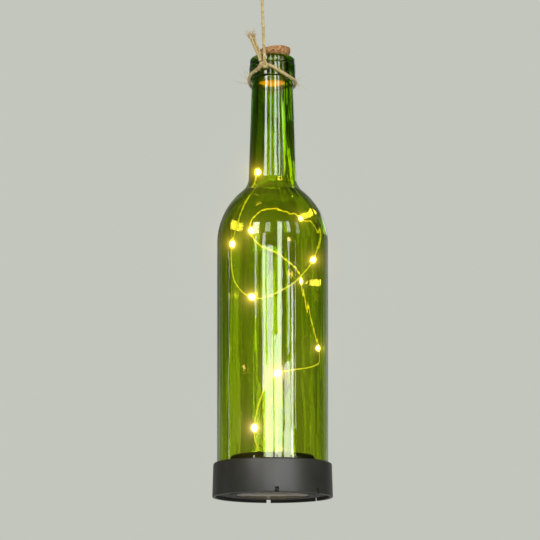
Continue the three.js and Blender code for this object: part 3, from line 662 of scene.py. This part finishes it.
def risingLine(low, high, steps):  # a straight wall in short steps, so that it can ripple
    return [(low[0] + (high[0] - low[0]) * i / steps, low[1] + (high[1] - low[1]) * i / steps)
            for i in range(1, steps)]


def addBottle():
    top, collarFoot = hang["bottleTop"], hang["bottleTop"] - bottle["collarHeight"]
    outer, inner = shoulderLine(0, 36), shoulderLine(bottle["wall"], 36)
    neckTop = (bottle["neckTop"], collarFoot - 0.0012)
    bore = (bottle["bore"], top - bottle["boreLength"])
    rim = bottle["collar"] - 0.0004
    lipFoot = top - bottle["lip"]
    crown = filleted([
        (bottle["neckTop"] + 0.0001, collarFoot - 0.0002, 0.0002), (bottle["collar"], collarFoot, 0.0006),
        (bottle["collar"], lipFoot - 0.0003, 0.0004), (rim - 0.0003, lipFoot, 0.0003),
        (rim, lipFoot + 0.0006, 0.0005), (rim, top, 0.0026), (bottle["bore"] + 0.0004, top, 0.0014),
        (bottle["bore"], top - 0.003, 0.001),
    ], 6)
    foot = filleted([(bottle["radius"] - bottle["wall"], bottle["foot"], 0.0006),
                     (bottle["radius"], bottle["foot"], 0.0006)])
    profile = [
        *foot[5:], *risingLine(foot[-1], outer[0], 14), *outer, *risingLine(outer[-1], neckTop, 8), neckTop,
        *crown, *risingLine(crown[-1], bore, 4), bore, *risingLine(bore, inner[-1], 4), *inner[::-1],
        *risingLine(inner[0], foot[0], 14), *foot[:5],
    ]
    bm = spun(profile, bottle["steps"])
    for vert in bm.verts:
        x, y, z = vert.co
        radius = math.hypot(x, y)
        if not bottle["foot"] + ripples["plain"] < z < collarFoot - ripples["plain"]:
            continue
        middle = insideRadius(z) + bottle["wall"] / 2 if z < ripples["neckFoot"] else ripples["neckMiddle"]
        inside = radius < middle
        across = Vector((x, y, 0)) / radius
        waves = []
        for (around, up), shift in zip((ripples["coarse"], ripples["fine"]), ripples["pattern"][inside]):
            waves.append(noise.noise(across * around + Vector((0, 0, z * up + shift))))
        amount = ripples["depth"] * (1 if inside else ripples["outside"])
        fading = max(0, 1 - abs(z - ripples["dimpleHeight"]) / ripples["dimpleReach"])
        dimple = noise.noise(vert.co * ripples["dimplesPerMetre"]) * ripples["dimple"] * fading
        share = 1 + (amount * (waves[0] + ripples["fineShare"] * waves[1]) + dimple) / radius
        vert.co = (x * share, y * share, z)
    addPiece("glass_bottle", meshFrom(bm), "glass", "lamp", ["bottle"], sharp=80)


addBottle()
print("bottle blown")

# Cork
cork = {
    "head": 0.0063, "headRadius": 0.0109, "length": 0.0246, "plug": 0.00905, "tip": 0.0088,
    "aside": 0.0013, "slant": 0.09,  # its head stands a little crooked
    "grains": ((900, 0.00007), (350, 0.00009)),  # per metre, and how far they stand out
}


def addCork():
    top = hang["bottleTop"] + cork["head"]
    low = hang["bottleTop"]
    outline = filleted([
        (0, top - cork["length"], 0), (cork["tip"], top - cork["length"], 0.0005),
        (cork["plug"], low - 0.002, 0.001), (cork["headRadius"], low + 0.0022, 0.0012),
        (cork["headRadius"] - 0.0001, top, 0.001), (0, top, 0),
    ])
    bm = spun(outline, 96, close=False)
    bmesh.ops.subdivide_edges(bm, edges=bm.edges, cuts=1, use_grid_fill=True)
    for vert in bm.verts:
        rough = sum(noise.noise(vert.co * perMetre) * depth for perMetre, depth in cork["grains"])
        if vert.co.z > low + 0.003:
            vert.co.z += rough
        radius = math.hypot(vert.co.x, vert.co.y)
        if radius > 0.008:
            vert.co.x *= 1 + rough / radius
            vert.co.y *= 1 + rough / radius
        share = max(0, min(1, (vert.co.z - low) / 0.0035))
        vert.co.z += cork["slant"] * vert.co.x * share
        vert.co.x += cork["aside"] * share
    addPiece("pressed_cork", meshFrom(bm), "cork", "stopper", ["cork"], sharp=50)


addCork()

# Cap, plate and housing at the foot
cap = {
    "bore": 0.0374, "wall": 0.0015, "draft": 0.0006, "height": 0.0222, "ledgeTop": 0.012,
    "ledgeFoot": 0.0103, "ledge": 0.004, "notches": (-86, -42, 41, 94), "notchWidth": 0.0028,
    "notchHeight": 0.0033,
}
plate = {
    "recess": 0.002, "top": 0.005, "radius": 0.0371, "bezel": 0.028, "bezelFoot": 0.001,
    "window": 0.0239, "pocketTop": 0.0036, "ring": 0.0261, "ringHeight": 0.0012, "screws": (30, 150, 270),
    "screwCircle": 0.0344, "switchAngle": 215, "switchCircle": 0.0327, "ringWall": 0.0012,
    "switchSlot": (0.0021, 0.0046, 0.012), "counterbore": (0.0024, 0.0036), "screwHole": (0.0015, 0.008),
}
panel = {
    "radius": 0.0236, "foot": 0.0012, "chamfer": 0.0003, "top": 0.0024, "wafer": (0.0228, 0.0027, 0.0033),
}
screw = {
    "seat": 0.0022, "headTop": 0.0033, "headRadius": 0.0021, "shank": 0.0012, "shankEnd": 0.0098,
    "tip": 0.0111, "recess": (0.0024, 0.0005, 0.0014),
}
housing = {"foot": 0.0053, "top": 0.027, "radius": 0.028, "wall": 0.0016, "outlet": 0.0025}
slider = {"size": (0.0015, 0.002, 0.0072), "foot": 0.001, "rib": (0.0015, 0.00025, 0.0003), "pitch": 0.0006}

lights = {
    "exit": (-0.009, -0.011), "wire": 0.00025, "twist": 0.009, "count": 10,
    "dropRadius": 0.0019, "dropLength": 0.0048, "gap": 0.0003, "length": 0.49,
    "step": 0.0008,
}


def cuboid(size, centre, angle=0):  # a block at a place on the ring at that angle
    bm = bmesh.new()
    bmesh.ops.create_cube(bm, size=1, matrix=Matrix.Diagonal((*size, 1)))
    bmesh.ops.translate(bm, vec=centre, verts=bm.verts)
    turn = Matrix.Rotation(math.radians(angle), 3, "Z")
    bmesh.ops.rotate(bm, cent=(0, 0, 0), matrix=turn, verts=bm.verts)
    return bm


def drum(radius, low, high, place=(0, 0), segments=48):
    bm = bmesh.new()
    bmesh.ops.create_cone(bm, cap_ends=True, segments=segments, radius1=radius, radius2=radius,
                          depth=high - low)
    bmesh.ops.translate(bm, vec=(*place, (low + high) / 2), verts=bm.verts)
    return bm


def onCircle(radius, angle):
    return (radius * math.cos(math.radians(angle)), radius * math.sin(math.radians(angle)))


def addCap():
    outer = cap["bore"] + cap["wall"]
    outline = filleted([
        (outer + cap["draft"], 0, 0.0005), (outer, cap["height"], 0.0013),
        (cap["bore"], cap["height"], 0.0004),
        (cap["bore"], cap["ledgeTop"], 0.0003), (cap["bore"] - cap["ledge"], cap["ledgeTop"], 0.0003),
        (cap["bore"] - cap["ledge"], cap["ledgeFoot"], 0.0003), (cap["bore"], cap["ledgeFoot"], 0.0003),
        (cap["bore"], 0, 0.0004),
    ])
    shell = meshFrom(spun(outline, 192))
    notches = []
    for angle in cap["notches"]:
        block = cuboid((0.01, cap["notchWidth"], 2 * cap["notchHeight"]), (outer, 0, 0), angle)
        edges = [e for e in block.edges if all(v.co.z > 0 for v in e.verts)]
        bmesh.ops.bevel(block, geom=edges, offset=0.0005, segments=3, profile=0.5, affect="EDGES",
                        material=-1)
        notches.append(meshFrom(block))
    addPiece("moulded_cap", cutBy(shell, notches), "cap", "lamp", ["base_cap"], sharp=30)


def addPlate():
    outline = filleted([
        (0, plate["pocketTop"], 0), (plate["window"], plate["pocketTop"], 0),
        (plate["window"], plate["bezelFoot"], 0.0004), (plate["bezel"], plate["bezelFoot"], 0.0006),
        (plate["bezel"], plate["recess"], 0.0002), (plate["radius"], plate["recess"], 0.0003),
        (plate["radius"], plate["top"], 0.0003), (plate["ring"], plate["top"], 0.0002),
        (plate["ring"], plate["top"] + plate["ringHeight"], 0.0002),
        (plate["ring"] - plate["ringWall"], plate["top"] + plate["ringHeight"], 0.0002),
        (plate["ring"] - plate["ringWall"], plate["top"], 0.0002), (0, plate["top"], 0),
    ])
    disc = meshFrom(spun(outline, 160, close=False))
    holes = []
    for angle in plate["screws"]:
        place = onCircle(plate["screwCircle"], angle)
        for radius, depth in (plate["counterbore"], plate["screwHole"]):
            holes.append(meshFrom(drum(radius, 0, depth, place)))
    slot = cuboid(plate["switchSlot"], (plate["switchCircle"], 0.001, plate["top"]), plate["switchAngle"])
    holes.append(meshFrom(slot))
    addPiece("moulded_plate", cutBy(disc, holes), "plate", "lamp", ["base_plate"], sharp=30)


def addPanelWindow():  # the silicon cell and the resin cast under it
    chamfered = panel["radius"] - panel["chamfer"]
    glass = spun([(0, panel["foot"]), (chamfered, panel["foot"]),
                  (panel["radius"], panel["foot"] + panel["chamfer"]), (panel["radius"], panel["top"]),
                  (0, panel["top"])], 128, close=False)
    addPiece("cast_window", meshFrom(glass), "window", "lamp", ["solar_window"], sharp=50)
    wafer = drum(*panel["wafer"], segments=128)
    addPiece("silicon_wafer", meshFrom(wafer), "cell", "lamp", ["solar_cell"])


def addScrews():  # pan heads with a cross recess, at the foot of each counterbore
    for number, angle in enumerate(plate["screws"], 1):
        x, y = onCircle(plate["screwCircle"], angle)
        outline = filleted([
            (0, screw["seat"], 0), (screw["headRadius"], screw["seat"], 0.0006),
            (screw["headRadius"], screw["headTop"], 0.0002), (screw["shank"], screw["headTop"], 0),
            (screw["shank"], screw["shankEnd"], 0), (0.0002, screw["tip"], 0), (0, screw["tip"], 0),
        ])
        bm = spun(outline, 48, close=False)
        bmesh.ops.translate(bm, vec=(x, y, 0), verts=bm.verts)
        bars = []
        for turn in (angle + 20, angle + 110):
            bar = cuboid(screw["recess"], (0, 0, 0), turn)
            bmesh.ops.translate(bar, vec=(x, y, screw["seat"]), verts=bar.verts)
            bars.append(meshFrom(bar))
        head = cutBy(meshFrom(bm), bars)
        addPiece(f"cross_screw_{number}", head, "zinc", "lamp", [f"plate_screw_{number}"],
                 sharp=35)


def addHousing():
    low, top, radius, wall = (housing[part] for part in ("foot", "top", "radius", "wall"))
    outline = filleted([
        (0, top - wall, 0), (radius - wall, top - wall, 0.0008), (radius - wall, low, 0.0003),
        (radius, low, 0.0003), (radius, top, 0.0016), (0, top, 0),
    ])
    shell = meshFrom(spun(outline, 128, close=False))
    outlet = meshFrom(drum(housing["outlet"], top - 0.004, top + 0.002, lights["exit"]))
    addPiece("moulded_housing", cutBy(shell, [outlet]), "plate", "lamp", ["electronics_housing"],
             sharp=30)


def addSlider():
    centre = (plate["switchCircle"], 0, slider["foot"] + slider["size"][2] / 2)
    bm = cuboid(slider["size"], centre, plate["switchAngle"])
    bmesh.ops.bevel(bm, geom=bm.edges[:], offset=0.0002, segments=2, profile=0.5, affect="EDGES", material=-1)
    for rise in (-slider["pitch"], 0, slider["pitch"]):
        place = (plate["switchCircle"], rise, slider["foot"] - 0.0001)
        rib = cuboid(slider["rib"], place, plate["switchAngle"])
        scrap = bpy.data.meshes.new("rib")
        rib.to_mesh(scrap)
        rib.free()
        bm.from_mesh(scrap)
        bpy.data.meshes.remove(scrap)
    addPiece("ribbed_slider", meshFrom(bm), "button", "switch", ["switch_slider"])


addCap()
addPlate()
addPanelWindow()
addScrews()
addHousing()
addSlider()
print("cap, plate and housing made")

# Light string
stringRoute = [  # bearing in degrees, share of the room that a drop has inside the glass, height
    (-126.6, 0.606, 0.036), (-125, 0.652, 0.0422), (-117.9, 0.711, 0.0523), (-103.7, 0.808, 0.066),
    (-91.8, 0.88, 0.076), (-82.9, 0.918, 0.0779), (-64.8, 0.937, 0.0801), (-45.1, 0.975, 0.0822),
    (-20.6, 0.983, 0.0866), (-3.6, 1, 0.0933), (5.4, 0.993, 0.0988), (14.8, 0.984, 0.1057),
    (25.6, 0.944, 0.1167), (35.5, 0.918, 0.1276), (43.8, 0.953, 0.1393), (49.1, 0.955, 0.1507),
    (57.5, 0.93, 0.158), (74.4, 0.913, 0.1662), (93.6, 0.913, 0.1713), (112.2, 0.893, 0.1755),
    (125, 0.892, 0.1816), (127.6, 0.925, 0.1888), (116.8, 1, 0.1953), (94.9, 1, 0.1985),
    (65.3, 0.991, 0.1969), (39.7, 0.984, 0.1907), (22.5, 1, 0.1868), (0, 1, 0.1783),
    (-20.1, 1, 0.1664), (-34.7, 0.993, 0.1548), (-48.2, 0.969, 0.1458), (-65.6, 0.965, 0.1368),
    (-83.4, 0.98, 0.1309), (-99, 0.985, 0.127), (-113, 0.972, 0.1274), (-127.9, 0.955, 0.1316),
    (-145.5, 0.941, 0.1416), (-156, 0.925, 0.1547), (-157.3, 0.895, 0.1684), (-158.7, 0.819, 0.1811),
    (-159.3, 0.848, 0.1952), (-162.6, 1, 0.2071), (-163.1, 0.958, 0.2174), (-164.4, 0.894, 0.221),
]


def insideGlass(bearing, share, height):
    radius = share * (insideRadius(height) - lights["dropRadius"] - lights["gap"])
    return Vector((*onCircle(radius, bearing), height))


def addLights():
    start = [Vector((*lights["exit"], housing["top"] + rise)) for rise in (-0.005, -0.001, 0.003)]
    line = smoothLine([*start, *(insideGlass(*point) for point in stringRoute)], lights["step"])
    frames = sidesOf(line)
    wires = []
    for side in (0, math.pi):
        path = []
        for i, (point, (u, v)) in enumerate(zip(line, frames)):
            angle = 2 * math.pi * i * lights["step"] / lights["twist"] + side
            path.append(point + (u * math.cos(angle) + v * math.sin(angle)) * lights["wire"])
        wires.append(path)
    pair = addPiece("twisted_wires", tubesFrom(wires, lights["wire"], 1), "wire", "lamp", ["light_string"],
                    sharp=80)
    hung = [lampMatrix @ p for p in line]
    for number in range(1, lights["count"] + 1):
        node = f"led_{number:02d}"
        low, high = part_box(node)
        centre = (low + high) / 2
        nearest = min(range(1, len(hung) - 1), key=lambda i: (hung[i] - centre).length)
        along = (hung[nearest + 1] - hung[nearest - 1]).normalized()
        place = Matrix.Translation(centre) @ along.to_track_quat("Z", "X").to_matrix().to_4x4()
        drop = bmesh.new()
        wide = lights["dropRadius"]
        shape = Matrix.Diagonal((wide, wide * 0.86, lights["dropLength"] / 2, 1))
        bmesh.ops.create_icosphere(drop, subdivisions=4, radius=1, matrix=shape)
        for vert in drop.verts:
            vert.co *= 1 + 0.05 * noise.noise(vert.co * 500 + Vector((number, 0, 0)))
        addPiece(f"resin_drop_{number:02d}", meshFrom(drop, place), "drop",
                              "lamp", [node], sharp=80)


addLights()
print("lights strung:", lights["count"])

# Finishes of the pieces that keep their drawn shape
nodeFinishes = {
    "glass_seal": "seal", "cable_grommet": "rubber", "battery_holder": "plate", "rechargeable_cell": "sleeve",
    "contact_plus": "nickel", "contact_minus": "nickel", "contact_spring": "nickel",
    "circuit_board": "laminate", "led_driver": "epoxy", "inductor": "epoxy", "solar_lead_plus": "redLead",
    "solar_lead_minus": "blackLead", "battery_lead_plus": "redLead", "battery_lead_minus": "blackLead",
    "switch_body": "nickel", "board_screw_1": "zinc", "board_screw_2": "zinc",
}
for node, finish in nodeFinishes.items():
    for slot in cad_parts[node].material_slots:
        slot.material = finishes[finish]

# Studio: pale floor far below, a pale surround, and tall soft boxes that draw the streaks in the glass
studio = {
    "floor": -1.1, "floorRadius": 9.0, "floorTint": "#c9c7c0", "floorCloud": "#dddbd4",
    "background": "#c3c6bd", "distance": 2.2, "even": 0.38,
    "strips": [  # bearing from the front and half width in degrees, lowest and highest edge, brightness
        (-35.5, 7.5, 0.65, 1.45, 9.0),
        (-35.0, 2.2, 0.48, 0.64, 5.0),
        (-17.0, 3.6, 0.36, 0.65, 6.5),
        (-12.4, 1.6, 0.1, 0.4, 7.5),
        (-4.9, 5.9, 0.1, 0.6, 7.5),
        (-9.5, 4.5, 0.68, 1.4, 4.5),
        (6.6, 3.1, 0.1, 0.45, 7.5),
        (14.6, 5.3, 0.1, 1.5, 7.5),
        (32.5, 10.5, 0.08, 0.3, 7.5),
        (30.5, 6.5, 0.3, 0.41, 7.0),
        (32.7, 2.2, 0.42, 0.63, 5.5),
        (33.0, 4.0, 0.7, 1.5, 7.0),
        (40.7, 2.3, 0.1, 0.53, 9.5),
        (54.0, 4.0, 0.65, 1.4, 2.5),
        (47.8, 0.8, 0.3, 0.62, 5.0),
        (-102.0, 0.7, 0.0, 0.6, 4.0),
        (157.0, 4.5, 0.72, 1.0, 1.5),
    ],
    "sky": {"width": 1.6, "place": (0.3, -0.5, 2.4), "brightness": 3.0},  # the soft light overhead
}


def addFloor():
    bm = bmesh.new()
    bmesh.ops.create_circle(bm, cap_ends=True, segments=96, radius=studio["floorRadius"])
    bmesh.ops.translate(bm, vec=(0, 0, studio["floor"]), verts=bm.verts)
    material, tree, place = newMaterial("paintedFloor")
    cloud = addNode(tree, "TexNoise", {"Scale": 1.5, "Detail": 2.0}, {"Vector": place})
    ramp = addNode(tree, "ValToRGB", links={"Fac": cloud})
    setStops(ramp, [(0.3, studio["floorTint"]), (0.7, studio["floorCloud"])])
    mesh = meshFrom(bm, Matrix.Identity(4))
    mesh.materials.append(addShader(material, {"Roughness": 0.8}, {"Base Color": ramp}))
    floor = bpy.data.objects.new("floor", mesh)
    scene.collection.objects.link(floor)


def addPanel(name, width, height, brightness, matrix):
    data = bpy.data.lights.new(name, "AREA")
    data.shape = "RECTANGLE"
    data.size, data.size_y = width, height
    data.energy = 4 * width * height * brightness
    panel = bpy.data.objects.new(name, data)
    scene.collection.objects.link(panel)
    panel.matrix_world = matrix
    panel.visible_camera = False
    return panel


def addStrip(bearing, halfWidth, low, high, brightness):  # a tall soft box that draws one streak
    angle, distance = math.radians(bearing), studio["distance"]
    place = Vector((math.sin(angle) * distance, -math.cos(angle) * distance, (low + high) / 2))
    facing = Vector((place.x, place.y, 0)).to_track_quat("Z", "Y").to_matrix().to_4x4()
    width = 2 * distance * math.tan(math.radians(halfWidth))
    addPanel("strip_box", width, high - low, brightness, lampMatrix @ Matrix.Translation(place) @ facing)


def makeSurround():  # plain to the camera; the glass sees a lit backdrop in soft patches and a dim front
    world = bpy.data.worlds.new("surround")
    scene.world = world
    world.use_nodes = True
    tree = world.node_tree
    tree.nodes.clear()
    place = addNode(tree, "TexCoord").outputs["Generated"]
    tall = addNode(tree, "Mapping", {"Scale": (11, 11, 3.0)}, {"Vector": place})
    bands = addNode(tree, "TexNoise", {"Scale": 1.0, "Detail": 3.0}, {"Vector": tall})
    patches = addNode(tree, "ValToRGB", links={"Fac": bands})
    setStops(patches, [(0.34, 0.14), (0.5, 0.48), (0.66, 0.92)])
    axes = addNode(tree, "SeparateXYZ", links={"Vector": place})
    height = addNode(tree, "MapRange", {1: -0.4, 2: 0.6}, {0: axes.outputs["Z"]})
    rise = addNode(tree, "ValToRGB", links={"Fac": height})
    setStops(rise, [(0.3, 0.3), (0.36, 0.85), (0.46, 0.8), (0.56, 0.42), (0.68, 0.48), (1.0, 0.35)])
    behind = addNode(tree, "MapRange", {1: 0.5, 2: 0.92, 3: 0.08, 4: 1.0}, {0: axes.outputs["Y"]})
    aside = addNode(tree, "Math", {"operation": "ABSOLUTE"}, {0: axes.outputs["X"]})
    middle = addNode(tree, "MapRange", {1: 0.02, 2: 0.07, 3: 0.6, 4: 1.0}, {0: aside})
    both = addNode(tree, "Math", {"operation": "MULTIPLY"}, {0: behind, 1: middle})
    light = addNode(tree, "Mix", {"data_type": "RGBA", "blend_type": "MULTIPLY", 0: 1.0},
                    {6: patches, 7: rise})
    plain = addNode(tree, "Background", {"Color": fromHex(studio["background"])})
    mixed = addNode(tree, "Background", links={"Color": light.outputs[2], "Strength": both})
    even = addNode(tree, "Background", {"Color": (1, 1, 1, 1), "Strength": studio["even"]})
    ray = addNode(tree, "LightPath")
    soft = addNode(tree, "MixShader", links={0: ray.outputs["Diffuse Depth"], 1: mixed, 2: even})
    seen = addNode(tree, "MixShader", links={0: ray.outputs["Is Camera Ray"], 1: soft, 2: plain})
    addNode(tree, "OutputWorld", links={"Surface": seen})


glow = {
    "colour": "#ffbf5a", "radius": 0.004,
    "places": [(0, 0, 0.26, 0.055), (0, 0, 0.215, 0.03), (0, 0, 0.165, 0.04), (0, 0, 0.115, 0.04),
               (-0.004, -0.01, 0.055, 0.03)],  # x, y, height and watts
}


def addGlow():  # the lights' warm light on what is in the bottle, from points between them
    for x, y, z, power in glow["places"]:
        data = bpy.data.lights.new("glow", "POINT")
        data.energy = power
        data.color = fromHex(glow["colour"])[:3]
        data.shadow_soft_size = glow["radius"]
        lamp = bpy.data.objects.new("glow", data)
        scene.collection.objects.link(lamp)
        lamp.matrix_world = lampMatrix @ Matrix.Translation((x, y, z))
        lamp.visible_camera = False
        lamp.visible_glossy = False
        lamp.visible_transmission = False


def addBloom():  # the lights are far brighter than the rest, so the lens spreads a little of them
    scene.use_nodes = True
    tree = scene.node_tree
    tree.nodes.clear()
    layers = addNode(tree, "RLayers")
    glare = addNode(tree, "Glare", {"glare_type": "BLOOM", "quality": "HIGH", "Threshold": 3.0,
                                                  "Strength": 2.0, "Size": 0.16},
                    {"Image": layers})
    addNode(tree, "Composite", links={"Image": glare})


addFloor()
makeSurround()
for strip in studio["strips"]:
    addStrip(*strip)
overhead = studio["sky"]
sky = addPanel("sky_panel", overhead["width"], overhead["width"], overhead["brightness"],
               Matrix.Translation(overhead["place"]))
sky.visible_glossy = False
sky.visible_transmission = False
addGlow()
addBloom()
scene.view_settings.view_transform = "Standard"
print("studio lit")
